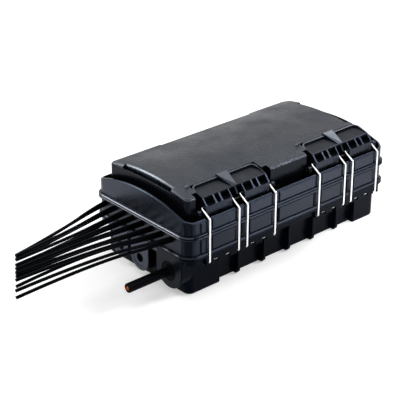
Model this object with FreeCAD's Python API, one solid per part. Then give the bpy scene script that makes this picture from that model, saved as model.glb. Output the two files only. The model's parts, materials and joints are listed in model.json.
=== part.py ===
# Fibre distribution box: a tub with cable ports, a middle frame with the drop cables,
# and a hinged cover held shut by two over-centre levers with sprung wire bails.
# Millimetres. X runs along the box with the cable end at -X, the latches are on -Y, +Z is up.
# The origin is on the underside, midway between the two latches.
import FreeCAD
import Part
import math
import os

V = FreeCAD.Vector
os.makedirs("parts", exist_ok=True)

# Outline that the tub's band, the frame and the cover share
box_start = -192.5
box_end = 178.5
half_width = 94.5
corner_radius = 15.0
wall = 3.0
flange_reach = 3.5
flange_thickness = 2.6
flange_bevel = 1.1
clear_side = 110.0
clear_low = 80.0
clear_high = 160.0
overcut = 1.0
touch = 0.1

# Levels from the underside up
tub_height = 58.0
seam_gap = 0.7
frame_bottom = tub_height + seam_gap
frame_top = 87.1
cover_bottom = frame_top + seam_gap
moat_floor = 93.0
skirt_crown = 126.3
skirt_crown_radius = 251.0
skirt_ledge = 7.0
skirt_edge = 1.0
bevel_foot, bevel_top, bevel_half = 109.3, 112.0, 160.0
gasket_out, gasket_in = 0.8, 0.2

# Front panels of the frame and the skirt, between the legs of the bails
pad_proud = 1.8
pad_margin = 3.0
pad_side_gap = 6.5
middle_pad_half = 32.0
slot_places = (-34.5, 34.5)
slot_half = 1.8
slot_floor = -92.6
skirt_pad_top = 107.0
near_pad_start = -171.0

# Raised panel of the cover, crowned across the box
panel_start = -181.0
panel_end = 152.0
panel_half_width = 79.0
panel_crown = 143.2
panel_crown_radius = 360.0
panel_near_radius = 6.0
panel_far_radius = 14.0
panel_wall = 3.0
panel_edge = 2.0

# Recess with a lip and a low rib at both ends of the panel, and a plain one along its back
recess_reach = 5.0
recess_front, recess_back = -48.0, 50.0
lip_thickness = 1.6
lip_top = 135.9
lip_radius = 680.0
groove_depth = 4.5
groove_rib = 0.8
groove_rib_drop = 2.0
rim_bevel = 1.8
back_recess = (-95.0, 75.0)
back_lip_drop = 4.0
back_groove_drop = 6.5

# Lower part of the tub, set in below the band: end blocks, bays and ribs
lower_start = -184.0
lower_end = 174.0
lower_half_width = 85.0
lower_corner = 10.0
foot_radius = 3.0
band_bottom = 47.8
block_start = 129.8
rib_pitch = 47.3
rib_count = 5
rib_thickness = 4.0
rib_corner = 7.0
bay_foot = 75.0
bay_bend = 78.0
bay_bend_z = 36.0
cove_radius = 8.0

# Latches: lever pivot, bail pivot and the crossbar of the bail under its hook
latch_centres = (-100.0, 100.0)
pivot_y, pivot_z = -82.5, 113.5
bail_y, bail_z = -81.2, 118.3
leg_y = -97.5
leg_top_z = 108.0
bar_y, bar_z = -92.5, 46.0
wire_radius = 1.5
wire_bend = 2.2
wire_tip = 14.0
pin_radius = 1.5
pin_half_length = 68.0
running_gap = 0.06
outer_leg = 58.24
inner_leg = 7.47
leg_channel = 7.0
channel_floor = -94.0
rim_channel_floor = -95.0
leg_notch_bottom, leg_notch_floor = 106.0, -90.0

# Lever: a plate with two sunk fields and a thumb ridge over a block with pockets
lever_half_length = 56.0
lever_gap = 11.0
plate_front, plate_back = -80.0, -55.5
plate_front_top, plate_back_top = 131.6, 138.9
plate_front_low, plate_back_low = 128.0, 131.4
plate_corner = 9.0
field_rim = 2.0
field_front, field_back = -78.8, -57.5
field_front_z, field_back_z = 131.2, 133.6
ridge_front_half, ridge_back_half = 4.0, 10.0
ridge_back = -53.0
ridge_top, ridge_heel, ridge_under = 141.4, 140.8, 139.9
ridge_front_lift, ridge_back_lift = 0.2, 0.6
block_face, block_low, block_high = -88.0, 107.3, 122.0
block_rear = -73.5
block_lip = 0.6
rear_lean = 2.0
rear_high, rear_low = 118.0, 109.0
lever_pockets = ((12.6, 26.7), (29.3, 36.7), (39.3, 53.6))
pocket_floor, pocket_back, pocket_round = 121.4, -76.6, 3.0
notch_offset, notch_half, notch_top, notch_depth = 33.0, 3.5, 110.5, 2.5
centre_rib = 1.3
centre_rib_front = -86.0
latch_half_length = 66.0
latch_space = 9.0
plate_gap = 1.0
plate_bed_drop = 9.0
lug_offset, lug_half, lug_radius = 65.0, 2.5, 4.0
lug_front, lug_back = -86.5, -78.0
seal_eye_offset, seal_eye_y, seal_eye_z = 61.0, -57.0, 139.4
seal_eye_radius, seal_eye_hole, seal_eye_half = 3.2, 1.5, 1.0

# Hook rails on the tub's band
rail_half_length = 62.0
rail_web = 2.5
hook_face = -98.0
hook_lip = 2.5
hook_bottom = 43.6
window_offsets = (11.0, 31.5)
window_width = 8.0
window_top = 49.0

# Rear hinge
hinge_y, hinge_z = 104.0, 87.5
hinge_radius = 4.5
hinge_pin_radius = 2.0
hinge_centres = (-100.0, 100.0)
knuckle_length = 22.0
knuckle_gap = 0.4
post_length = 12.0
post_front = 99.5
post_low, gusset_top = 50.0, 57.0

# Cable ports in the end of the tub: place across the box, height, radius outside and radius of the bore
port_face = -196.0
port_places = {"feeder": (-60.0, 32.2, 25.0, 14.0), "middle": (0.0, 26.5, 18.8, 12.5),
               "rear": (41.0, 29.0, 17.0, 11.5)}
port_inner = -178.0
port_edge = 1.5
plug_face = 0.5
plug_hole_radius = 6.5
plug_hole_depth = 9.0
feeder_radius = 6.5
feeder_end = -263.5
core_radius = 2.4
core_length = 12.0
core_proud = 0.8
collar_radius = 8.5
collar_reach = 3.0

# Drop cables, in stacked pairs through a seal in the end of the frame
pair_count = 8
pair_first_y = 75.0
pair_pitch = 19.9
drop_radius = 2.2
drop_levels = (81.3, 76.7)
drop_start = -176.0
drop_straight = -201.0
bend_share = 0.3
drop_bow_y, drop_bow_z = 0.48, 0.42
drop_slot_half = 82.0
drop_slot_bottom = 70.0
drop_slot_top = 84.0
slot_depth = 10.0
seal_depth = 12.0
seal_proud = 0.5
bunch_places = (47.0, 41.5, 36.0, 21.5, 13.2, 4.0, -12.4, -34.0)
bunch_z = 70.0
bunch_spread = (2.4, 2.4, 2.4, 2.4, 2.4, 2.4, 4.4, 4.8)
cut_x, cut_slope = -389.1, 0.677

# Wall screws in the underside
mount_hole_radius = 2.6
mount_hole_depth = 8.0
mount_half_x = 150.0
mount_half_y = 55.0
mount_pad_radius = 8.0
mount_pad_top = 11.0

# Splice trays, stacked on a carrier over four posts
tray_floor = 24.0
carrier_thickness = 2.0
carrier_half_width = 56.0
tray_post_x = 70.0
tray_post_y = 45.0
tray_post_radius = 6.0
tray_start, tray_end = -62.0, 142.0
tray_half_width = 52.0
tray_corner = 14.0
tray_wall = 1.6
tray_height = 10.0
tray_count = 4
hub_offset = 60.0
hub_radius = 24.0
hub_height = 8.0
tray_root = 0.5
comb_half_x, comb_half_y, comb_height = 20.0, 30.0, 6.0
comb_slots = 6
comb_pitch, comb_slot, comb_margin = 9.6, 5.0, 3.0
lid_thickness = 1.5


def outline(x0, x1, half_y, near_radius, far_radius, z):
    """Rounded rectangle face at height z, with its own corner radius at each end."""
    edges = []
    corners = ((x0, -half_y, near_radius, 180), (x1, -half_y, far_radius, 270),
               (x1, half_y, far_radius, 0), (x0, half_y, near_radius, 90))
    arcs = []
    for x, y, radius, start in corners:
        centre = V(x + math.copysign(radius, (x0 + x1) / 2 - x), y - math.copysign(radius, y), z)
        points = []
        for turn in (0, 45, 90):
            angle = math.radians(start + turn)
            points.append(centre + V(radius * math.cos(angle), radius * math.sin(angle), 0))
        arcs.append(points)
    for i, points in enumerate(arcs):
        edges.append(Part.Arc(*points).toShape())
        edges.append(Part.LineSegment(points[2], arcs[(i + 1) % 4][0]).toShape())
    return Part.Face(Part.Wire(edges))


def raised(face, z1):
    return face.extrude(V(0, 0, z1 - face.BoundBox.ZMin))


def slab(inset, z0, z1):
    """Rounded slab of the box's outline, drawn in by inset (out where it is negative)."""
    radius = corner_radius - inset
    return raised(outline(box_start + inset, box_end - inset, half_width - inset, radius, radius, z0), z1)


def box(x0, x1, y0, y1, z0, z1):
    x0, x1 = min(x0, x1), max(x0, x1)
    y0, y1 = min(y0, y1), max(y0, y1)
    return Part.makeBox(x1 - x0, y1 - y0, z1 - z0, V(x0, y0, z0))


def column(x0, x1, y0, y1):
    """Box from below the cover's panel to above it."""
    return box(x0, x1, y0, y1, clear_low, clear_high)


def side_profile(points, x0, x1):
    """Prism along X of a polygon of (y, z) points."""
    corners = [V(x0, y, z) for y, z in points]
    return Part.Face(Part.makePolygon(corners + corners[:1])).extrude(V(x1 - x0, 0, 0))


def rod(x0, x1, y, z, radius):
    return Part.makeCylinder(radius, x1 - x0, V(x0, y, z), V(1, 0, 0))


def post(x, y, z0, z1, radius):
    return Part.makeCylinder(radius, z1 - z0, V(x, y, z0))


def crown(top, radius):
    """Cylinder along the whole box whose highest line is at height top."""
    return rod(box_start - clear_side, box_end + clear_side, 0, top - radius, radius)


def panel_skin(drop):
    return crown(panel_crown - drop, panel_crown_radius - drop)


def sweep(points, radius, bends):
    """Round bar along a polyline whose corners are bent to the given radii."""
    edges = []
    start = points[0]
    for before, corner, after, bend in zip(points, points[1:], points[2:], bends):
        into = (corner - before).normalize()
        out = (after - corner).normalize()
        turn = into.getAngle(out)
        reach = bend * math.tan(turn / 2)
        enter = corner - into * reach
        leave = corner + out * reach
        apex = corner + (out - into).normalize() * (bend / math.cos(turn / 2) - bend)
        edges.append(Part.LineSegment(start, enter).toShape())
        edges.append(Part.Arc(enter, apex, leave).toShape())
        start = leave
    edges.append(Part.LineSegment(start, points[-1]).toShape())
    section = Part.Wire(Part.makeCircle(radius, points[0], points[1] - points[0]))
    return Part.Wire(edges).makePipeShell([section], True, False)


def cord(points, radius):
    """Cable along a hand-laid route, each bend as wide as its two runs allow."""
    bends = []
    for before, corner, after in zip(points, points[1:], points[2:]):
        shorter = min((corner - before).Length, (after - corner).Length)
        turn = (corner - before).getAngle(after - corner)
        bends.append(bend_share * shorter / math.tan(turn / 2))
    return sweep(points, radius, bends)


def bail_spans():
    """Left and right leg of each of the four bails."""
    for centre in latch_centres:
        yield centre - outer_leg, centre - inner_leg
        yield centre + inner_leg, centre + outer_leg


def leg_channels(z0, z1, depth_to):
    """Upright slots in which the legs of the bails run."""
    half = leg_channel / 2
    return [box(x - half, x + half, -clear_side, depth_to, z0, z1) for span in bail_spans() for x in span]


def flange(z0):
    """Rim around a seam, with a bevel along its upper edge."""
    rim = slab(-flange_reach, z0, z0 + flange_thickness)
    upper = [e for e in rim.Edges if e.BoundBox.ZMin > z0 + flange_thickness - touch]
    return rim.makeChamfer(flange_bevel, upper)


def front_pads(z0, z1):
    """Raised panels on the front wall beside the legs of the bails."""
    spans = list(bail_spans())
    places = [(left + pad_side_gap, right - pad_side_gap) for left, right in spans]
    places.append((-middle_pad_half, middle_pad_half))
    places.append((near_pad_start, spans[0][0] - pad_side_gap))
    root = -half_width + overcut
    face = -half_width - pad_proud
    profile = [(root, z0), (face, z0 + pad_proud), (face, z1 - pad_proud), (root, z1)]
    return [side_profile(profile, x0, x1) for x0, x1 in places]


def bay(x0, x1, side):
    """Hollow between two ribs, drawn in towards the foot and coved out to the band."""
    outer = side * (lower_half_width + overcut)
    foot = V(x0, side * bay_foot, -overcut)
    bend = V(x0, side * bay_bend, bay_bend_z)
    slant = cove_radius * math.sqrt(0.5)
    middle = V(x0, side * (bay_bend + cove_radius - slant), bay_bend_z + slant)
    top = V(x0, outer, bay_bend_z + cove_radius)
    corner = V(x0, outer, -overcut)
    edges = [Part.LineSegment(corner, foot).toShape(), Part.LineSegment(foot, bend).toShape(),
             Part.Arc(bend, middle, top).toShape(), Part.LineSegment(top, corner).toShape()]
    return Part.Face(Part.Wire(edges)).extrude(V(x1 - x0, 0, 0))


def make_lower():
    lower = raised(outline(lower_start, lower_end, lower_half_width, lower_corner, lower_corner, 0),
                   band_bottom + overcut)
    lower = lower.makeFillet(foot_radius, [e for e in lower.Edges if e.BoundBox.ZMax < touch])
    ribs = [(k - (rib_count - 1) / 2) * rib_pitch for k in range(rib_count)]
    starts = [-block_start] + [x + rib_thickness / 2 for x in ribs]
    ends = [x - rib_thickness / 2 for x in ribs] + [block_start]
    for side in (-1, 1):
        axis_y = side * (lower_half_width - rib_corner)
        sharp = box(-block_start, block_start, axis_y, side * (lower_half_width + overcut), -overcut, rib_corner)
        round_edge = rod(-block_start, block_start, axis_y, rib_corner, rib_corner)
        lower = lower.cut(sharp.cut(round_edge))
        lower = lower.cut([bay(x0, x1, side) for x0, x1 in zip(starts, ends)])
    return lower


def port_lobes():
    """Housings of the cable ports, round below and straight up to the tub's rim."""
    lobes = []
    root = lower_start + lower_corner
    for y, z, radius, bore in port_places.values():
        lobe = rod(port_face, root, y, z, radius)
        lobe = lobe.fuse(box(port_face, root, y - radius, y + radius, z, tub_height)).removeSplitter()
        outer = [e for e in lobe.Edges if e.BoundBox.XMax < port_face + touch]
        face = [e for e in outer if e.BoundBox.ZMin < band_bottom]
        lobes.append(lobe.makeFillet(port_edge, face))
    return lobes


def port_bores():
    return [rod(port_face - overcut, lower_start + wall + overcut, y, z, bore)
            for y, z, radius, bore in port_places.values()]


def hook_rails():
    """Lip per latch that the crossbars hook under, closed by a web at each end."""
    rails = []
    for centre in latch_centres:
        x0, x1 = centre - rail_half_length - rail_web, centre + rail_half_length + rail_web
        rails.append(box(x0, x1, hook_face, hook_face + hook_lip, hook_bottom, tub_height - overcut))
        rails.append(box(x0, x1, hook_face, -half_width + overcut, band_bottom, tub_height - overcut))
        web = [(hook_face, hook_bottom), (hook_face, band_bottom + overcut),
               (-lower_half_width + overcut, band_bottom + overcut),
               (-lower_half_width + overcut, band_bottom - overcut)]
        rails.append(side_profile(web, x0, x0 + rail_web))
        rails.append(side_profile(web, x1 - rail_web, x1))
    return rails


def rail_windows():
    half = window_width / 2
    return [box(left + s - half, left + s + half, -clear_side, hook_face + hook_lip, 0, window_top)
            for left, right in bail_spans() for s in window_offsets]


def cavities():
    """Inside of the tub: narrow between the bays, wider in the end blocks and the band."""
    top = tub_height + overcut
    near = outline(lower_start + wall, -block_start - wall, lower_half_width - wall,
                   lower_corner - wall, overcut, wall)
    far = outline(block_start + wall, lower_end - wall, lower_half_width - wall,
                  overcut, lower_corner - wall, wall)
    between = outline(lower_start + wall, lower_end - wall, bay_foot - wall,
                      lower_corner - wall, lower_corner - wall, wall)
    return [raised(near, top), raised(far, top), raised(between, top), slab(wall, band_bottom + wall, top)]


def hinge_posts():
    posts = []
    back = hinge_y + hinge_radius
    for centre in hinge_centres:
        for side in (-1, 1):
            near = centre + side * (knuckle_length / 2 + knuckle_gap)
            far = near + side * post_length
            x0, x1 = min(near, far), max(near, far)
            upright = box(x0, x1, post_front, back, post_low, hinge_z)
            upright = upright.fuse(rod(x0, x1, hinge_y, hinge_z, hinge_radius))
            gusset = [(half_width - overcut, band_bottom), (half_width - overcut, gusset_top),
                      (back, gusset_top), (post_front, band_bottom)]
            upright = upright.fuse(side_profile(gusset, x0, x1))
            posts.append(upright.cut(rod(x0 - overcut, x1 + overcut, hinge_y, hinge_z, hinge_pin_radius)))
    return posts


def mount_places():
    return [(sx * mount_half_x, sy * mount_half_y) for sx in (-1, 1) for sy in (-1, 1)]


def tray_posts():
    middle = (tray_start + tray_end) / 2
    return [post(middle + sx * tray_post_x, sy * tray_post_y, wall, tray_floor, tray_post_radius)
            for sx in (-1, 1) for sy in (-1, 1)]


def make_tub():
    band = slab(0, band_bottom, tub_height).fuse(flange(tub_height - flange_thickness))
    tub = band.fuse([make_lower()] + port_lobes() + hook_rails())
    tub = tub.cut(leg_channels(0, tub_height + overcut, channel_floor) + rail_windows())
    tub = tub.cut(cavities())
    tub = tub.cut(port_bores())
    pads = [post(x, y, wall - overcut, mount_pad_top, mount_pad_radius) for x, y in mount_places()]
    tub = tub.fuse(hinge_posts() + tray_posts() + pads)
    return tub.cut([post(x, y, -overcut, mount_hole_depth, mount_hole_radius) for x, y in mount_places()])


def make_frame():
    frame = slab(0, frame_bottom, frame_top)
    frame = frame.fuse([flange(frame_bottom), flange(frame_top - flange_thickness)])
    frame = frame.fuse(front_pads(frame_bottom + pad_margin, frame_top - pad_margin))
    frame = frame.cut(slab(wall, frame_bottom - overcut, frame_top + overcut))
    frame = frame.cut(leg_channels(frame_bottom - overcut, frame_top + overcut, channel_floor))
    low, high = frame_bottom + pad_margin, frame_top - pad_margin
    frame = frame.cut([box(x - slot_half, x + slot_half, -clear_side, slot_floor, low, high)
                       for x in slot_places + latch_centres])
    return frame.cut(box(box_start - slot_depth, box_start + slot_depth, -drop_slot_half, drop_slot_half,
                         drop_slot_bottom, drop_slot_top))


def make_skirt():
    skirt = slab(0, cover_bottom, clear_high).common(crown(skirt_crown, skirt_crown_radius))
    skirt = skirt.makeChamfer(skirt_edge, [e for e in skirt.Edges if e.BoundBox.ZMin > cover_bottom + overcut])
    skirt = skirt.fuse([flange(cover_bottom)] + front_pads(cover_bottom + pad_margin, skirt_pad_top))
    skirt = skirt.cut(slab(wall, moat_floor, clear_high))
    # The lever's foot swings past the inner top edge of the front wall, which is bevelled for it.
    inner = -half_width + wall + touch
    outer = -half_width + overcut
    bevel = [(outer, bevel_foot), (inner, skirt_pad_top), (inner, bevel_top), (outer, bevel_top)]
    skirt = skirt.cut(side_profile(bevel, -bevel_half, bevel_half))
    return skirt.cut(slab(wall + skirt_ledge, cover_bottom - overcut, moat_floor - wall))


def end_recesses():
    """Cuts of the lip, the grooves and the rib at both ends of the panel."""
    cuts = []
    for start, way in ((panel_start, 1), (panel_end, -1)):
        rib = start + way * (lip_thickness + recess_reach - groove_rib) / 2
        steps = ((-overcut, recess_reach, lip_top), (lip_thickness, recess_reach, lip_top - groove_rib_drop))
        for near, far, top in steps:
            whole = column(start + way * near, start + way * far, recess_front, recess_back)
            cuts.append(whole.cut(crown(top, lip_radius)))
        groove = column(start + way * lip_thickness, start + way * recess_reach, recess_front, recess_back)
        groove = groove.cut(column(rib, rib + way * groove_rib, recess_front, recess_back))
        cuts.append(groove.cut(crown(lip_top - groove_depth, lip_radius)))
    return cuts


def recess_rims(dome):
    """Upper edges of the inner walls of the two end recesses."""
    rims = []
    for x in (panel_start + recess_reach, panel_end - recess_reach):
        flat = [e for e in dome.Edges if abs(e.BoundBox.XMin - x) < touch and abs(e.BoundBox.XMax - x) < touch]
        rims += [e for e in flat if e.BoundBox.YLength > overcut and e.BoundBox.ZMin > lip_top]
    return rims


def back_recess_cuts():
    x0, x1 = back_recess
    edge = panel_half_width
    lip = column(x0, x1, edge - recess_reach, edge + overcut).cut(panel_skin(back_lip_drop))
    groove = column(x0, x1, edge - recess_reach, edge - lip_thickness).cut(panel_skin(back_groove_drop))
    return [lip, groove]


def panel_hollow():
    """Inside of the panel, kept clear of the latch pockets and the recesses."""
    face = outline(panel_start + panel_wall, panel_end - panel_wall, panel_half_width - panel_wall,
                   panel_near_radius - panel_wall, panel_far_radius - panel_wall, clear_low)
    hollow = raised(face, clear_high).common(panel_skin(panel_wall))
    front = -panel_half_width - overcut
    thick = recess_reach + panel_wall
    for centre in latch_centres:
        x0 = centre - latch_half_length - panel_wall
        x1 = centre + latch_half_length + panel_wall
        hollow = hollow.cut(column(x0, x1, front, front + overcut + latch_space + panel_wall))
        bed = column(x0, x1, front, plate_back + plate_gap + panel_wall)
        hollow = hollow.cut(bed.cut(panel_skin(plate_bed_drop + panel_wall)))
    under = crown(lip_top - groove_depth - panel_wall, lip_radius)
    for x0, x1 in ((panel_start, panel_start + thick), (panel_end - thick, panel_end)):
        hollow = hollow.cut(column(x0, x1, recess_front - panel_wall, recess_back + panel_wall).cut(under))
    back = column(back_recess[0] - panel_wall, back_recess[1] + panel_wall,
                  panel_half_width - thick, panel_half_width)
    return hollow.cut(back.cut(panel_skin(back_groove_drop + panel_wall)))


def latch_cuts(centre):
    """Bed of the lever's plate in the panel, and the open space for its block."""
    half = lever_half_length + plate_gap
    bed = column(centre - half, centre + half, -panel_half_width - pad_margin, plate_back + plate_gap)
    space = box(centre - latch_half_length, centre + latch_half_length, -half_width + wall,
                -panel_half_width + latch_space, moat_floor, clear_high)
    return [bed.cut(panel_skin(plate_bed_drop)), space]


def latch_lugs(centre):
    """Bearings of the lever's pin, and the small eye for a seal beside the lever."""
    lugs = []
    for side in (-1, 1):
        x0 = centre + side * lug_offset - lug_half
        x1 = centre + side * lug_offset + lug_half
        lug = box(x0, x1, lug_front, lug_back, moat_floor - overcut, pivot_z)
        lugs.append(lug.fuse(rod(x0, x1, pivot_y, pivot_z, lug_radius)))
    place = V(centre - seal_eye_offset, seal_eye_y - seal_eye_half, seal_eye_z)
    eye = Part.makeCylinder(seal_eye_radius, 2 * seal_eye_half, place, V(0, 1, 0))
    lugs.append(eye.cut(Part.makeCylinder(seal_eye_hole, 2 * seal_eye_half, place, V(0, 1, 0))))
    return lugs


def make_cover():
    dome = outline(panel_start, panel_end, panel_half_width, panel_near_radius, panel_far_radius,
                   moat_floor - overcut)
    dome = raised(dome, clear_high).common(panel_skin(0))
    dome = dome.makeChamfer(panel_edge, [e for e in dome.Edges if e.BoundBox.ZMin > skirt_crown])
    dome = dome.cut(end_recesses() + back_recess_cuts())
    dome = dome.makeChamfer(rim_bevel, recess_rims(dome))
    cover = make_skirt().fuse(dome).cut(panel_hollow())
    for centre in latch_centres:
        cover = cover.cut(latch_cuts(centre)).fuse(latch_lugs(centre))
        cover = cover.cut(rod(centre - pin_half_length - overcut, centre + pin_half_length + overcut,
                              pivot_y, pivot_z, pin_radius))
    rim_top = cover_bottom + flange_thickness + overcut
    cover = cover.cut(leg_channels(cover_bottom - overcut, rim_top, rim_channel_floor))
    cover = cover.cut(leg_channels(leg_notch_bottom, clear_high, leg_notch_floor))
    for centre in hinge_centres:
        x0, x1 = centre - knuckle_length / 2, centre + knuckle_length / 2
        web = box(x0, x1, half_width, hinge_y, cover_bottom, cover_bottom + flange_thickness)
        cover = cover.fuse(web.fuse(rod(x0, x1, hinge_y, hinge_z, hinge_radius)))
    return cover.cut([rod(c - knuckle_length, c + knuckle_length, hinge_y, hinge_z,
                          hinge_pin_radius + running_gap) for c in hinge_centres])


def lever_plate(centre):
    x0, x1 = centre - lever_half_length, centre + lever_half_length
    section = [(plate_front, plate_front_low), (plate_front, plate_front_top),
               (plate_back, plate_back_top), (plate_back, plate_back_low)]
    plate = side_profile(section, x0, x1)
    upright = column(x0, x1, plate_front, plate_back)
    rear = [e for e in upright.Edges if e.BoundBox.ZLength > overcut and e.BoundBox.YMin > plate_back - 1]
    plate = plate.common(upright.makeFillet(plate_corner, rear))
    sunk = [(field_front, field_front_z), (field_front, clear_high), (field_back, clear_high),
            (field_back, field_back_z)]
    field = side_profile(sunk, x0 + field_rim, x1 - field_rim)
    bounds = column(x0 + field_rim, x1 - field_rim, field_front, field_back)
    rear = [e for e in bounds.Edges if e.BoundBox.ZLength > overcut and e.BoundBox.YMin > field_back - 1]
    field = field.common(bounds.makeFillet(plate_corner - field_rim, rear))
    corners = [V(centre - ridge_front_half, plate_front, clear_low),
               V(centre + ridge_front_half, plate_front, clear_low),
               V(centre + ridge_back_half, ridge_back, clear_low),
               V(centre - ridge_back_half, ridge_back, clear_low)]
    wedge = Part.Face(Part.makePolygon(corners + corners[:1])).extrude(V(0, 0, clear_high - clear_low))
    ridge = [(plate_front, plate_front_low), (plate_front, plate_front_top + ridge_front_lift),
             (ridge_back - overcut, ridge_top), (ridge_back, ridge_heel), (ridge_back, ridge_under),
             (plate_back, plate_back_top + ridge_back_lift), (plate_back, plate_back_low)]
    ridge = wedge.common(side_profile(ridge, centre - ridge_back_half, centre + ridge_back_half))
    return plate.cut(field).fuse(ridge)


def lever_block(centre, side):
    near = centre + side * lever_gap
    far = centre + side * lever_half_length
    x0, x1 = min(near, far), max(near, far)
    section = [(block_face, block_low), (block_face, block_high),
               (plate_front, plate_front_top - block_lip), (block_rear + rear_lean / 2, plate_front_top),
               (block_rear + rear_lean, plate_front_low + overcut), (block_rear, rear_high),
               (block_rear, rear_low), (block_rear - rear_lean, block_low)]
    block = side_profile(section, x0, x1)
    for first, last in lever_pockets:
        pocket = box(centre + side * first, centre + side * last, block_face - overcut, pocket_back,
                     pocket_floor, clear_high)
        low = [e for e in pocket.Edges if e.BoundBox.ZMax < pocket_floor + touch]
        low = [e for e in low if e.BoundBox.YLength > overcut]
        block = block.cut(pocket.makeFillet(pocket_round, low))
    notch = centre + side * notch_offset
    block = block.cut(box(notch - notch_half, notch + notch_half, block_face - overcut, block_face + notch_depth,
                          block_low - overcut, notch_top))
    depth = wire_tip - overcut
    return block.cut([rod(x - depth, x + depth, bail_y, bail_z, wire_radius + running_gap) for x in (x0, x1)])


def make_lever(centre):
    rib_top = plate_front_top - block_lip
    rib = [(centre_rib_front, pocket_floor), (plate_front, rib_top), (block_rear, rib_top),
           (block_rear, pocket_floor)]
    lever = lever_plate(centre).fuse([lever_block(centre, -1), lever_block(centre, 1),
                                      side_profile(rib, centre - centre_rib, centre + centre_rib)])
    return lever.cut(rod(centre - pin_half_length, centre + pin_half_length, pivot_y, pivot_z,
                         pin_radius + running_gap))


def make_bail(left, right):
    """Bent wire: a tip in the lever, over the skirt, down to the crossbar, and back up."""
    half = [V(left + wire_tip, bail_y, bail_z), V(left, bail_y, bail_z), V(left, leg_y, leg_top_z),
            V(left, leg_y, bar_z), V(left, bar_y, bar_z)]
    other = [V(left + right - p.x, p.y, p.z) for p in reversed(half)]
    points = half + other
    return sweep(points, wire_radius, [wire_bend] * (len(points) - 2))


def gasket(z0, z1):
    return slab(-gasket_out, z0, z1).cut(slab(wall - gasket_in, z0 - overcut, z1 + overcut))


def make_plug(place):
    y, z, radius, bore = port_places[place]
    face = port_face + plug_face
    hole = rod(face - overcut, face + plug_hole_depth, y, z, plug_hole_radius)
    return rod(face, port_inner, y, z, bore).cut(hole)


def make_gland():
    y, z, radius, bore = port_places["feeder"]
    gland = rod(port_face + plug_face, port_inner, y, z, bore)
    gland = gland.fuse(rod(port_face - collar_reach, port_face + plug_face + overcut, y, z, collar_radius))
    return gland.cut(rod(port_face - clear_side, port_inner + clear_side, y, z, feeder_radius))


def make_seal():
    seal = box(box_start - seal_proud, box_start + seal_depth, -drop_slot_half, drop_slot_half,
               drop_slot_bottom, drop_slot_top)
    near, far = box_start - clear_side, box_start + clear_side
    return seal.cut([rod(near, far, pair_first_y - k * pair_pitch, z, drop_radius)
                     for k in range(pair_count) for z in drop_levels])


def drop_route(pair, row):
    """Straight out of the seal, then gathered and sagging towards the cut ends."""
    y = pair_first_y - pair * pair_pitch
    z = drop_levels[row]
    end_y = bunch_places[pair]
    end_z = bunch_z + (bunch_spread[pair] if row == 0 else -bunch_spread[pair])
    end_x = cut_x + cut_slope * end_y
    half_x = (drop_straight + end_x) / 2
    return [V(drop_start, y, z), V(drop_straight, y, z),
            V(half_x, y + drop_bow_y * (end_y - y), z + drop_bow_z * (end_z - z)), V(end_x, end_y, end_z)]


def make_tray(level):
    tray = raised(outline(tray_start, tray_end, tray_half_width, tray_corner, tray_corner, level),
                  level + tray_height)
    inside = outline(tray_start + tray_wall, tray_end - tray_wall, tray_half_width - tray_wall,
                     tray_corner - tray_wall, tray_corner - tray_wall, level + tray_wall)
    tray = tray.cut(raised(inside, level + tray_height + overcut))
    middle = (tray_start + tray_end) / 2
    low, hub_top = level + tray_wall - tray_root, level + hub_height
    hubs = [post(middle + side * hub_offset, 0, low, hub_top, hub_radius).cut(
        post(middle + side * hub_offset, 0, low, hub_top, hub_radius - tray_wall)) for side in (-1, 1)]
    comb = box(middle - comb_half_x, middle + comb_half_x, -comb_half_y, comb_half_y, low, level + comb_height)
    for k in range(comb_slots):
        y = -comb_half_y + comb_pitch * k + comb_margin
        comb = comb.cut(box(middle - comb_half_x - overcut, middle + comb_half_x + overcut, y, y + comb_slot,
                            level + tray_wall + overcut, level + tray_height))
    return tray.fuse(hubs + [comb])


def save(name, shape):
    shape = shape.removeSplitter()
    assert shape.isValid(), name
    print(name, len(shape.Solids), "solids", round(shape.Volume), "mm3")
    shape.exportStep("parts/" + name + ".step")


save("tub", make_tub())
save("middle_frame", make_frame())
save("cover", make_cover())
save("tub_gasket", gasket(tub_height, frame_bottom))
save("cover_gasket", gasket(frame_top, cover_bottom))
for side, centre in zip(("left", "right"), latch_centres):
    save("latch_lever_" + side, make_lever(centre))
    pin = rod(centre - pin_half_length, centre + pin_half_length, pivot_y, pivot_z, pin_radius)
    save("lever_pin_" + side, pin)
for number, (left, right) in enumerate(bail_spans(), 1):
    save("wire_bail_" + str(number), make_bail(left, right))
for side, centre in zip(("left", "right"), hinge_centres):
    reach = knuckle_length / 2 + knuckle_gap + post_length
    save("hinge_pin_" + side, rod(centre - reach, centre + reach, hinge_y, hinge_z, hinge_pin_radius))

for place in ("middle", "rear"):
    save("port_plug_" + place, make_plug(place))
save("feeder_gland", make_gland())
feeder_y, feeder_z = port_places["feeder"][:2]
jacket = rod(feeder_end, drop_start, feeder_y, feeder_z, feeder_radius)
core = rod(feeder_end - core_proud, feeder_end + core_length, feeder_y, feeder_z, core_radius)
save("feeder_cable", jacket.cut(core))
save("feeder_core", core)

save("drop_seal", make_seal())
for pair in range(pair_count):
    for row in range(2):
        save("drop_cable_%02d" % (2 * pair + row + 1), cord(drop_route(pair, row), drop_radius))

save("tray_carrier", box(tray_start, tray_end, -carrier_half_width, carrier_half_width, tray_floor,
                         tray_floor + carrier_thickness))
stack = tray_floor + carrier_thickness
for level in range(tray_count):
    save("splice_tray_" + str(level + 1), make_tray(stack + level * tray_height))
lid_z = stack + tray_count * tray_height
save("tray_lid", raised(outline(tray_start, tray_end, tray_half_width, tray_corner, tray_corner, lid_z),
                        lid_z + lid_thickness))
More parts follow.
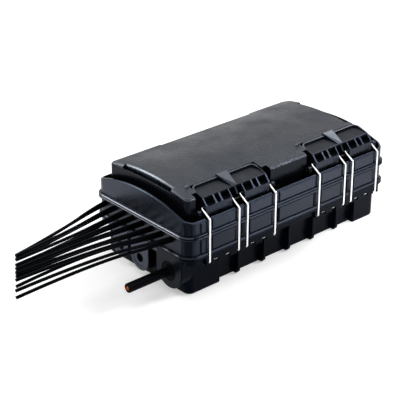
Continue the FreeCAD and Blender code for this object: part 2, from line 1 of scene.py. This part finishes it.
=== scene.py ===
import json
import bpy
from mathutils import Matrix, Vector


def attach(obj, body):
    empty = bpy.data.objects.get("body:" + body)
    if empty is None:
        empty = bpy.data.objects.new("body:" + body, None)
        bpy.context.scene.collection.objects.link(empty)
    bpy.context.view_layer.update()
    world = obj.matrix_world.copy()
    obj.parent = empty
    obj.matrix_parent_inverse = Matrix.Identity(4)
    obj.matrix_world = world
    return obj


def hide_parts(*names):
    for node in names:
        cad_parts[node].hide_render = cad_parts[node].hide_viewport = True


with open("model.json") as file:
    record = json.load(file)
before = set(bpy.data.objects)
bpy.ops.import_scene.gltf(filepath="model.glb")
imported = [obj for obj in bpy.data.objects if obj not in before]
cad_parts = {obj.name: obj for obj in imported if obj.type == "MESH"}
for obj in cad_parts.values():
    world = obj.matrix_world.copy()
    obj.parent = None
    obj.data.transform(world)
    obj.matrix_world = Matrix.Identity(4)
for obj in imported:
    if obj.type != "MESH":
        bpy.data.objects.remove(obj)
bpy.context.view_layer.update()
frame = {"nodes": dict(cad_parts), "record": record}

nodes = frame["nodes"]
scene = bpy.context.scene
scene.view_settings.view_transform = "Standard"
bpy.ops.object.select_all(action="DESELECT")
print("frame loaded:", len(nodes), "nodes")


# Camera, standing where the photograph was taken from
cameraValues = {
    "place": (-1.12068, -1.17071, 0.85601),
    "looksAlong": (0.5914, 0.6712, -0.4468),
    "lens": 115.56,
    "sensor": 36.0,
    "farthest": 50.0,
}


def placeCamera():
    bpy.ops.object.camera_add(location=cameraValues["place"])
    camera = bpy.context.object
    camera.name = "photoCamera"
    camera.rotation_mode = "QUATERNION"
    camera.rotation_quaternion = Vector(cameraValues["looksAlong"]).to_track_quat("-Z", "Y")
    camera.data.lens = cameraValues["lens"]
    camera.data.sensor_width = cameraValues["sensor"]
    camera.data.clip_end = cameraValues["farthest"]
    scene.camera = camera


placeCamera()
print("camera placed")


# Small helpers for the finishes: a noise field on the piece's own coordinates, and what is made of it
patternValues = {
    "cloudDetail": 4.0, "rubDetail": 6.0, "grainDetail": 2.0, "streakDetail": 3.0, "smokeDetail": 3.0,
    "tintRange": (0.35, 0.65), "spreadRange": (0.3, 0.7), "edgeSamples": 6,
}


def newFinish(name):
    finish = bpy.data.materials.new(name)
    finish.use_nodes = True
    return finish, finish.node_tree, finish.node_tree.nodes["Principled BSDF"]


def noiseField(tree, scale, detail, stretch=(1, 1, 1)):
    place = tree.nodes.new("ShaderNodeTexCoord")
    mapping = tree.nodes.new("ShaderNodeMapping")
    mapping.inputs["Scale"].default_value = stretch
    noise = tree.nodes.new("ShaderNodeTexNoise")
    noise.inputs["Scale"].default_value = scale
    noise.inputs["Detail"].default_value = detail
    tree.links.new(place.outputs["Object"], mapping.inputs["Vector"])
    tree.links.new(mapping.outputs["Vector"], noise.inputs["Vector"])
    return noise.outputs["Fac"]


def tintBy(tree, field, socket, dark, light):
    ramp = tree.nodes.new("ShaderNodeValToRGB")
    ends = zip(ramp.color_ramp.elements, patternValues["tintRange"], (dark, light))
    for element, position, colour in ends:
        element.position = position
        element.color = (*colour, 1)
    tree.links.new(field, ramp.inputs["Fac"])
    tree.links.new(ramp.outputs["Color"], socket)


def spreadBy(tree, field, socket, low, high):
    spread = tree.nodes.new("ShaderNodeMapRange")
    spread.inputs["From Min"].default_value = patternValues["spreadRange"][0]
    spread.inputs["From Max"].default_value = patternValues["spreadRange"][1]
    spread.inputs["To Min"].default_value = low
    spread.inputs["To Max"].default_value = high
    tree.links.new(field, spread.inputs["Value"])
    tree.links.new(spread.outputs["Result"], socket)


def reliefBy(tree, field, shader, strength, depth, edge=0.0):
    bump = tree.nodes.new("ShaderNodeBump")
    bump.inputs["Strength"].default_value = strength
    bump.inputs["Distance"].default_value = depth
    if edge:  # moulded edges are a little round, so they catch the light
        rounded = tree.nodes.new("ShaderNodeBevel")
        rounded.samples = patternValues["edgeSamples"]
        rounded.inputs["Radius"].default_value = edge
        tree.links.new(rounded.outputs["Normal"], bump.inputs["Normal"])
    tree.links.new(field, bump.inputs["Height"])
    tree.links.new(bump.outputs["Normal"], shader.inputs["Normal"])


def grainedPlastic(name, values):
    finish, tree, shader = newFinish(name)
    cloudy = noiseField(tree, values["cloudScale"], patternValues["cloudDetail"])
    tintBy(tree, cloudy, shader.inputs["Base Color"], values["dark"], values["light"])
    rubbed = noiseField(tree, values["rubScale"], patternValues["rubDetail"])
    spreadBy(tree, rubbed, shader.inputs["Roughness"], *values["roughness"])
    grain = noiseField(tree, values["grainScale"], patternValues["grainDetail"])
    reliefBy(tree, grain, shader, values["grainStrength"], values["grainDepth"], values["edge"])
    shader.inputs["Specular IOR Level"].default_value = values["shine"]
    shader.inputs["Specular Tint"].default_value = (*values["shineTint"], 1)
    return finish


def drawnSteel(name, values):
    finish, tree, shader = newFinish(name)
    detail = patternValues["streakDetail"]
    streaks = noiseField(tree, values["streakScale"], detail, values["streakStretch"])
    tintBy(tree, streaks, shader.inputs["Base Color"], values["dark"], values["light"])
    spreadBy(tree, streaks, shader.inputs["Roughness"], *values["roughness"])
    reliefBy(tree, streaks, shader, values["streakStrength"], values["streakDepth"])
    shader.inputs["Metallic"].default_value = 1.0
    return finish


def clearPlastic(name, values):
    finish, tree, shader = newFinish(name)
    smoky = noiseField(tree, values["smokeScale"], patternValues["smokeDetail"])
    tintBy(tree, smoky, shader.inputs["Base Color"], values["dark"], values["light"])
    spreadBy(tree, smoky, shader.inputs["Roughness"], *values["roughness"])
    shader.inputs["Alpha"].default_value = values["alpha"]
    return finish


# Finishes of the box, one dictionary each
housingValues = {
    "dark": (0.0019, 0.0025, 0.0042), "light": (0.0040, 0.0050, 0.0080), "cloudScale": 9.0,
    "roughness": (0.26, 0.32), "rubScale": 45.0,
    "grainScale": 1500.0, "grainStrength": 0.14, "grainDepth": 0.0002, "edge": 0.0005,
    "shine": 0.35, "shineTint": (0.48, 0.63, 1.0),
}
panelValues = dict(
    housingValues, dark=(0.0022, 0.0024, 0.0030), light=(0.0095, 0.0100, 0.0115), cloudScale=60.0,
    roughness=(0.20, 0.54), rubScale=20.0, grainScale=330.0, grainStrength=0.7, grainDepth=0.001,
    shine=0.45, shineTint=(0.66, 0.78, 1.0),
)
frameValues = dict(housingValues, shine=0.26, shineTint=(0.48, 0.62, 1.0))
leverValues = dict(housingValues, shine=0.28)
fieldValues = dict(
    leverValues, roughness=(0.7, 0.85), grainScale=700.0, grainStrength=0.5, shine=0.42,
    shineTint=(0.86, 0.90, 1.0),
)
# painted sheen: the thumb ridges get far more shine than the rest of the lever
wedgeSheenValues = dict(leverValues, shine=0.8, shineTint=(0.70, 0.80, 1.0))
# painted shade: darker colour and little shine for the walls and floor of the moat round the panel,
# where shade falls
moatShadeValues = dict(
    housingValues, dark=(0.0012, 0.0014, 0.0020), light=(0.0024, 0.0027, 0.0036),
    roughness=(0.22, 0.28), shine=0.10,
)
# painted shade: the lever's pockets and front notches are dull and dark, as the shade in them
pocketShadeValues = dict(moatShadeValues, roughness=(0.6, 0.75), shine=0.04)
# painted shade: the whole tub is darker and duller than the rest of the housing, as the shade round the
# foot of the box
tubShadeValues = dict(
    housingValues, dark=(0.0009, 0.0014, 0.0024), light=(0.0018, 0.0026, 0.0042),
    shine=0.045, shineTint=(0.30, 0.52, 1.0), edge=0.0006,
)
# painted sheen: the end faces of the ports and the port plugs get far more shine than the tub, the
# feeder's port a little less
portSheenValues = dict(housingValues, shine=0.68)
feederPortSheenValues = dict(housingValues, shine=0.14)
# painted shade: the rounded corners of the cover and the frame get less shine than the flat sides, so
# they show darker
cornerShadeValues = dict(housingValues, shine=0.05)
cornerSideShadeValues = dict(housingValues, shine=0.2)
# painted shade: the upright faces of the cover's flange are near black, as the shade in the seam between
# the parts
seamShadeValues = dict(housingValues, shine=0.02, edge=0.0)
# painted shade: the flanges' chamfers get less shine, so they show darker on the front
flangeShadeValues = dict(housingValues, shine=0.13, edge=0.0)
# painted highlights: strong shine on the chamfers that face the cable end, for bright lines along these
# edges
coverEdgeGlintValues = dict(housingValues, shine=0.7, shineTint=(0.80, 0.88, 1.0), edge=0.0)
frameEdgeGlintValues = dict(coverEdgeGlintValues, shine=0.3)
# painted highlight: the seal eyes are light grey and very glossy, standing in for their glint
eyeGlintValues = dict(
    housingValues, dark=(0.05, 0.052, 0.06), light=(0.12, 0.125, 0.135),
    roughness=(0.12, 0.2), shine=1.0,
)
rubberValues = dict(
    housingValues, dark=(0.0015, 0.0015, 0.0018), light=(0.0035, 0.0035, 0.0040),
    roughness=(0.55, 0.7), shine=0.06,
)
jacketValues = dict(
    housingValues, dark=(0.0008, 0.0008, 0.0010), light=(0.0018, 0.0018, 0.0021), cloudScale=60.0,
    roughness=(0.30, 0.45), grainScale=900.0, grainStrength=0.2, shine=0.025, edge=0.0,
)
trayValues = dict(
    housingValues, dark=(0.30, 0.31, 0.33), light=(0.36, 0.37, 0.39), roughness=(0.4, 0.55),
    shineTint=(1, 1, 1),
)
paleTrayValues = dict(trayValues, dark=(0.44, 0.45, 0.47), light=(0.50, 0.51, 0.53))
coreValues = dict(
    housingValues, dark=(0.22, 0.026, 0.002), light=(0.66, 0.14, 0.012), cloudScale=420.0,
    roughness=(0.4, 0.5), shine=0.06, shineTint=(1, 1, 1), edge=0.0,
)
wireValues = {
    "dark": (0.66, 0.66, 0.68), "light": (0.84, 0.84, 0.86), "roughness": (0.12, 0.26),
    "streakScale": 120.0, "streakStretch": (6, 6, 0.6), "streakStrength": 0.1, "streakDepth": 0.0001,
}
pinValues = dict(wireValues, dark=(0.5, 0.5, 0.52), light=(0.66, 0.66, 0.68), roughness=(0.25, 0.4))
darkPinValues = dict(
    wireValues, dark=(0.012, 0.012, 0.014), light=(0.03, 0.03, 0.034), roughness=(0.35, 0.5),
)
lidValues = {
    "dark": (0.70, 0.74, 0.76), "light": (0.80, 0.83, 0.84), "smokeScale": 20.0,
    "roughness": (0.08, 0.16), "alpha": 0.14,
}

finishes = {
    "housing_black": grainedPlastic("housingBlack", housingValues),
    "lever_black": grainedPlastic("leverBlack", leverValues),
    "seal_rubber": grainedPlastic("sealRubber", rubberValues),
    "cable_jacket": grainedPlastic("jacketBlack", jacketValues),
    "core_orange": grainedPlastic("coreOrange", coreValues),
    "tray_grey": grainedPlastic("trayGrey", trayValues),
    "tray_clear": clearPlastic("trayClear", lidValues),
    "bright_wire": drawnSteel("brightWire", wireValues),
    "steel_pin": drawnSteel("pinSteel", pinValues),
    "dark_pin": drawnSteel("pinBlack", darkPinValues),
}
# painted sheen on the port ends and plugs
portSheenFinish = grainedPlastic("portPaintedSheen", portSheenValues)
frameFinish = grainedPlastic("frameBlack", frameValues)
paleTrayFinish = grainedPlastic("trayPale", paleTrayValues)
ownFinishes = {
    # painted shade over the whole tub
    "tub": grainedPlastic("tubPaintedShade", tubShadeValues),
    "middle_frame": frameFinish,
    "drop_seal": frameFinish,
    "port_plug_middle": portSheenFinish,
    "port_plug_rear": portSheenFinish,
    "splice_tray_2": paleTrayFinish,
    "splice_tray_4": paleTrayFinish,
}


def dressNodes():
    slots = {part["node"]: part["material_slot"] for part in frame["record"]["subparts"]}
    for name, node in nodes.items():
        node.data.materials.clear()
        node.data.materials.append(ownFinishes.get(name, finishes[slots[name]]))


# Faces with a finish of their own, picked by rules that take a face's middle, in metres, and its normal.
# Several of these finishes are painted shade, sheen or highlights.
coverFaceValues = {
    "inner": (-0.1895, 0.1755), "innerHalf": 0.0918, "wallTilt": 0.6, "floor": 0.0945, "wallTop": 0.1345,
    "panel": (-0.1812, 0.1522), "panelHalf": 0.0792, "panelLow": 0.126,
    "eyes": (-0.161, 0.039), "eyeReach": 0.0036, "eyeY": -0.057, "eyeHalf": 0.0012, "eyeLow": 0.1389,
}
leverFaceValues = {
    "fieldTilt": 0.985, "fieldLow": 0.131, "wedgeTilt": 0.8, "wedgeLow": 0.1355,
    "pocketLow": 0.1212, "pocketHigh": 0.1312, "pocketFront": -0.0879, "frontLean": (-0.9, -0.5),
    "centres": (-0.1, 0.1), "notchOffset": 0.033, "notchHalf": 0.0036, "notchTop": 0.1106,
    "notchFront": -0.0879,
}
endFaceValues = {"tilt": 0.9, "portX": -0.19, "feederY": -0.033}
flangeFaceValues = {
    "lows": (0.0553, 0.0586, 0.0844, 0.0877), "depth": 0.0028, "chamfer": (0.3, 0.95), "endLean": -0.3,
}
cornerFaceValues = {"upright": 0.3, "side": 0.12, "middle": 0.35}


def onPanel(middle, facing):
    values = coverFaceValues
    over = values["panel"][0] < middle.x < values["panel"][1] and abs(middle.y) < values["panelHalf"]
    return over and facing.z > values["wallTilt"] and middle.z > values["panelLow"]


def inMoatShade(middle, facing):
    values = coverFaceValues
    inside = values["inner"][0] < middle.x < values["inner"][1] and abs(middle.y) < values["innerHalf"]
    deep = abs(facing.z) < values["wallTilt"] or middle.z < values["floor"]
    return inside and deep and middle.z < values["wallTop"]


def onEye(middle, facing):
    # the small eye for a seal beside each lever, coloured light grey and glossy as a painted highlight
    values = coverFaceValues
    near = min(abs(middle.x - x) for x in values["eyes"]) < values["eyeReach"]
    level = abs(middle.y - values["eyeY"]) < values["eyeHalf"]
    return near and level and middle.z > values["eyeLow"]


def inField(middle, facing):
    return facing.z > leverFaceValues["fieldTilt"] and middle.z > leverFaceValues["fieldLow"]


def onWedge(middle, facing):
    return facing.z > leverFaceValues["wedgeTilt"] and middle.z > leverFaceValues["wedgeLow"]


def inPocketShade(middle, facing):
    # the pockets between the ribs, but not the ribs' leaning fronts, get painted shade
    values = leverFaceValues
    within = values["pocketLow"] < middle.z < values["pocketHigh"] and middle.y > values["pocketFront"]
    return within and not values["frontLean"][0] < facing.y < values["frontLean"][1]


# the notches in the lever fronts, which get painted shade
def inNotchShade(middle, facing):
    values = leverFaceValues
    across = min(abs(abs(middle.x - centre) - values["notchOffset"]) for centre in values["centres"])
    behind = middle.y > values["notchFront"]
    return across < values["notchHalf"] and middle.z < values["notchTop"] and behind


def onPortEnd(middle, facing):
    return facing.x < -endFaceValues["tilt"] and middle.x < endFaceValues["portX"]


def onFeederPort(middle, facing):
    return onPortEnd(middle, facing) and middle.y < endFaceValues["feederY"]


def inFlange(middle):
    return any(low < middle.z < low + flangeFaceValues["depth"] for low in flangeFaceValues["lows"])


def onChamfer(facing):
    return flangeFaceValues["chamfer"][0] < facing.z < flangeFaceValues["chamfer"][1]


def onFlangeShade(middle, facing):
    return inFlange(middle) and onChamfer(facing)


def onSeamShade(middle, facing):
    return inFlange(middle) and abs(facing.z) < flangeFaceValues["chamfer"][0]


def onEndEdgeGlint(middle, facing):
    # edges of the flanges and of the panel that face the cable end, given a painted highlight
    edged = inFlange(middle) or middle.z > coverFaceValues["panelLow"]
    return edged and onChamfer(facing) and facing.x < flangeFaceValues["endLean"]


def onPinEnd(middle, facing):
    return abs(facing.x) > endFaceValues["tilt"]


def cornerTurn(facing):
    # 0 on the flat sides of the box, up to 0.7 in the middle of its rounded corners
    return min(abs(facing.x), abs(facing.y)) if abs(facing.z) < cornerFaceValues["upright"] else 0


def onCornerSideShade(middle, facing):
    return cornerTurn(facing) > cornerFaceValues["side"]


def onCornerShade(middle, facing):
    return cornerTurn(facing) > cornerFaceValues["middle"]


def paintFaces(name, finish, chosen):
    node = nodes[name]
    node.data.materials.append(finish)
    slot = len(node.data.materials) - 1
    for face in node.data.polygons:
        if chosen(face.center, face.normal):
            face.material_index = slot


dressNodes()
# painted shade: duller finishes for the rounded corners of the cover and the frame
cornerShadeFinish = grainedPlastic("cornerPaintedShade", cornerShadeValues)
cornerSideShadeFinish = grainedPlastic("cornerSidePaintedShade", cornerSideShadeValues)
# painted shade: a duller finish for the flanges' chamfers
flangeShadeFinish = grainedPlastic("flangePaintedShade", flangeShadeValues)
for name in ("cover", "middle_frame"):
    paintFaces(name, cornerSideShadeFinish, onCornerSideShade)
    paintFaces(name, cornerShadeFinish, onCornerShade)
    paintFaces(name, flangeShadeFinish, onFlangeShade)
# painted shade in the seam between cover and frame
paintFaces("cover", grainedPlastic("seamPaintedShade", seamShadeValues), onSeamShade)
paintFaces("cover", grainedPlastic("panelBlack", panelValues), onPanel)
# painted shade in the moat round the panel
paintFaces("cover", grainedPlastic("moatPaintedShade", moatShadeValues), inMoatShade)
# painted highlight on the seal eyes
paintFaces("cover", grainedPlastic("eyePaintedHighlight", eyeGlintValues), onEye)
# painted highlights on the end-facing edges of cover and frame
paintFaces("cover", grainedPlastic("coverEdgePaintedHighlight", coverEdgeGlintValues), onEndEdgeGlint)
paintFaces("middle_frame", grainedPlastic("frameEdgePaintedHighlight", frameEdgeGlintValues), onEndEdgeGlint)
# painted sheen on the end faces of the ports
paintFaces("tub", portSheenFinish, onPortEnd)
paintFaces("tub", grainedPlastic("feederPortPaintedSheen", feederPortSheenValues), onFeederPort)
fieldFinish = grainedPlastic("fieldBlack", fieldValues)
# painted shade for the lever pockets and notches
pocketShadeFinish = grainedPlastic("pocketPaintedShade", pocketShadeValues)
# painted sheen on the thumb ridges
wedgeSheenFinish = grainedPlastic("wedgePaintedSheen", wedgeSheenValues)
for side in ("left", "right"):
    paintFaces("latch_lever_" + side, fieldFinish, inField)
    paintFaces("latch_lever_" + side, pocketShadeFinish, inPocketShade)
    paintFaces("latch_lever_" + side, pocketShadeFinish, inNotchShade)
    paintFaces("latch_lever_" + side, wedgeSheenFinish, onWedge)
    paintFaces("lever_pin_" + side, finishes["steel_pin"], onPinEnd)
print("finishes made:", len(bpy.data.materials))


# Drop cables in stacked pairs and the feeder, on listed routes close to the solids' own, in metres
cableValues = {"roundness": 5, "smoothness": 12, "order": 3}
dropValues = {
    "radius": 0.0022, "exitX": -0.193, "startX": -0.176, "straightX": -0.201,
    "firstY": 0.075, "pitch": 0.0199, "levels": (0.0813, 0.0767),
    "bowY": 0.48, "bowZ": 0.42, "cutX": -0.3891, "cutSlope": 0.677,
    # where each cable is cut, across the box and up
    "cuts": (
        (0.047, 0.0694), (0.0505, 0.0664), (0.042, 0.0724), (0.0415, 0.0676),
        (0.036, 0.0702), (0.036, 0.0615), (0.0215, 0.0724), (0.0215, 0.0676),
        (0.0132, 0.0724), (0.0132, 0.0676), (0.004, 0.0724), (0.004, 0.0676),
        (-0.0124, 0.0744), (-0.0124, 0.0656), (-0.034, 0.0748), (-0.034, 0.0652),
    ),
    # how far the middle of each run is pushed, across the box and up
    "pushes": (
        (0, -0.0067), (0.0038, -0.005), (0, -0.0055), (0.005, -0.005),
        (0, -0.0046), (0.003, -0.0054), (0, 0), (0.0025, 0),
        (0, 0.0025), (0.004, 0.0035), (0, 0.0025), (0.004, 0.004),
        (0, 0.007), (0.004, 0.01), (0, 0.009), (0.002, 0.0075),
    ),
}
feederValues = {
    "radius": 0.0065, "exit": (-0.199, -0.06, 0.0322),
    "route": (
        (-0.176, -0.06, 0.0322), (-0.205, -0.06, 0.0322),
        (-0.235, -0.06, 0.0322), (-0.2635, -0.06, 0.0322),
    ),
}


def layCable(name, route, radius, finish):
    curve = bpy.data.curves.new(name, "CURVE")
    curve.dimensions = "3D"
    curve.bevel_depth = radius
    curve.bevel_resolution = cableValues["roundness"]
    curve.resolution_u = cableValues["smoothness"]
    curve.use_fill_caps = True
    spline = curve.splines.new("NURBS")
    spline.points.add(len(route) - 1)
    for point, place in zip(spline.points, route):
        point.co = (*place, 1)
    spline.order_u = cableValues["order"]
    spline.use_endpoint_u = True
    cable = bpy.data.objects.new(name, curve)
    scene.collection.objects.link(cable)
    curve.materials.append(finish)
    return cable


def routeLength(route):
    # length of the spline itself, read from a bare copy
    bare = layCable("measure", route, 0.0, finishes["cable_jacket"])
    bpy.context.view_layer.update()
    evaluated = bare.evaluated_get(bpy.context.evaluated_depsgraph_get())
    line = bpy.data.meshes.new_from_object(evaluated)
    points = [vertex.co for vertex in line.vertices]
    bpy.data.objects.remove(bare)
    return sum((after - before).length for before, after in zip(points, points[1:]))


def dropRoute(number):
    values = dropValues
    y = values["firstY"] - number // 2 * values["pitch"]
    z = values["levels"][number % 2]
    endY, endZ = values["cuts"][number]
    endX = values["cutX"] + values["cutSlope"] * endY
    pushY, pushZ = values["pushes"][number]
    middleX = (values["straightX"] + endX) / 2
    middleY = y + values["bowY"] * (endY - y) + pushY
    middleZ = z + values["bowZ"] * (endZ - z) + pushZ
    straight = [(values["startX"], y, z), (values["straightX"], y, z)]
    return straight + [(middleX, middleY, middleZ), (endX, endY, endZ)]


def declareCable(cable, node, route):
    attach(cable, "housing")
    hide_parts(node)
    routeLength(route)


def layCables():
    jacket = finishes["cable_jacket"]
    for number in range(len(dropValues["cuts"])):
        route = dropRoute(number)
        cable = layCable("dropCable%02d" % (number + 1), route, dropValues["radius"], jacket)
        declareCable(cable, "drop_cable_%02d" % (number + 1), route)
    route = feederValues["route"]
    feeder = layCable("feederCable", route, feederValues["radius"], jacket)
    declareCable(feeder, "feeder_cable", route)


layCables()
print("cables laid:", len(dropValues["cuts"]) + 1)


# Floor, backdrop light and lamps
stageValues = {
    "floorHalf": 6.0, "floorColour": (0.82, 0.82, 0.82), "floorRoughness": 0.9, "lift": 0.35,
    "carriedLight": 0.35, "seenLight": 1.0, "coneBlend": 1.0,
}
lampValues = (
    {"name": "overhead", "place": (0.1, 0.2, 1.9), "aim": (0, 0, 0.05), "size": 1.8, "power": 20.0},
    {"name": "leftSide", "place": (-1.9, -0.4, 1.2), "aim": (0, 0, 0.08), "size": 1.2, "power": 6.0},
    {"name": "frontSide", "place": (0.9, -1.9, 1.1), "aim": (0, 0, 0.08), "size": 1.4, "power": 6.0},
    {"name": "backLeft", "place": (-0.9, 1.3, 1.2), "aim": (0, 0, 0.1), "size": 0.5, "power": 15.0},
    {"name": "frontRight", "place": (1.2, -0.9, 1.4), "aim": (0, 0, 0.1), "size": 0.5, "power": 18.0},
    # glints on the thumb ridges of the levers
    {"name": "ridgeGlint", "place": (1.18, 0.24, 1.21), "aim": (0.1, -0.06, 0.14), "size": 0.3,
     "power": 2.0},
    # lights the floor before the middle and the right half, which the front then mirrors
    {"name": "floorGlow", "place": (0.17, -0.55, 0.8), "aim": (0.15, -0.24, 0), "cone": 0.45,
     "power": 30.0},
)


def seenRays(tree):
    # 1 for the rays that show the background, 0 for those that only carry light
    path = tree.nodes.new("ShaderNodeLightPath")
    first = tree.nodes.new("ShaderNodeMath")
    first.operation = "MAXIMUM"
    second = tree.nodes.new("ShaderNodeMath")
    second.operation = "MAXIMUM"
    tree.links.new(path.outputs["Is Camera Ray"], first.inputs[0])
    tree.links.new(path.outputs["Is Glossy Ray"], first.inputs[1])
    tree.links.new(first.outputs[0], second.inputs[0])
    tree.links.new(path.outputs["Is Transmission Ray"], second.inputs[1])
    return second.outputs[0]


def layFloor():
    bpy.ops.mesh.primitive_plane_add(size=2 * stageValues["floorHalf"], location=(0, 0, 0))
    floor = bpy.context.object
    floor.name = "studioFloor"
    finish, tree, shader = newFinish("paleFloor")
    shader.inputs["Base Color"].default_value = (*stageValues["floorColour"], 1)
    shader.inputs["Roughness"].default_value = stageValues["floorRoughness"]
    shader.inputs["Specular IOR Level"].default_value = 0.0
    shader.inputs["Emission Color"].default_value = (1, 1, 1, 1)
    scaled = tree.nodes.new("ShaderNodeMath")
    scaled.operation = "MULTIPLY"
    scaled.inputs[1].default_value = stageValues["lift"]
    tree.links.new(seenRays(tree), scaled.inputs[0])
    tree.links.new(scaled.outputs[0], shader.inputs["Emission Strength"])
    floor.data.materials.append(finish)


def lightWorld():
    world = bpy.data.worlds.new("studioWorld")
    scene.world = world
    world.use_nodes = True
    tree = world.node_tree
    tree.nodes["Background"].inputs["Color"].default_value = (1, 1, 1, 1)
    strength = tree.nodes.new("ShaderNodeMapRange")
    strength.inputs["To Min"].default_value = stageValues["carriedLight"]
    strength.inputs["To Max"].default_value = stageValues["seenLight"]
    tree.links.new(seenRays(tree), strength.inputs["Value"])
    tree.links.new(strength.outputs["Result"], tree.nodes["Background"].inputs["Strength"])


def hangLamps():
    for lamp in lampValues:
        place = Vector(lamp["place"])
        bpy.ops.object.light_add(type="SPOT" if "cone" in lamp else "AREA", location=place)
        light = bpy.context.object
        light.name = lamp["name"]
        light.data.energy = lamp["power"]
        if "cone" in lamp:
            light.data.spot_size = lamp["cone"]
            light.data.spot_blend = stageValues["coneBlend"]
        else:
            light.data.size = lamp["size"]
        light.rotation_mode = "QUATERNION"
        light.rotation_quaternion = (Vector(lamp["aim"]) - place).to_track_quat("-Z", "Y")


layFloor()
lightWorld()
hangLamps()
print("floor and lamps set")
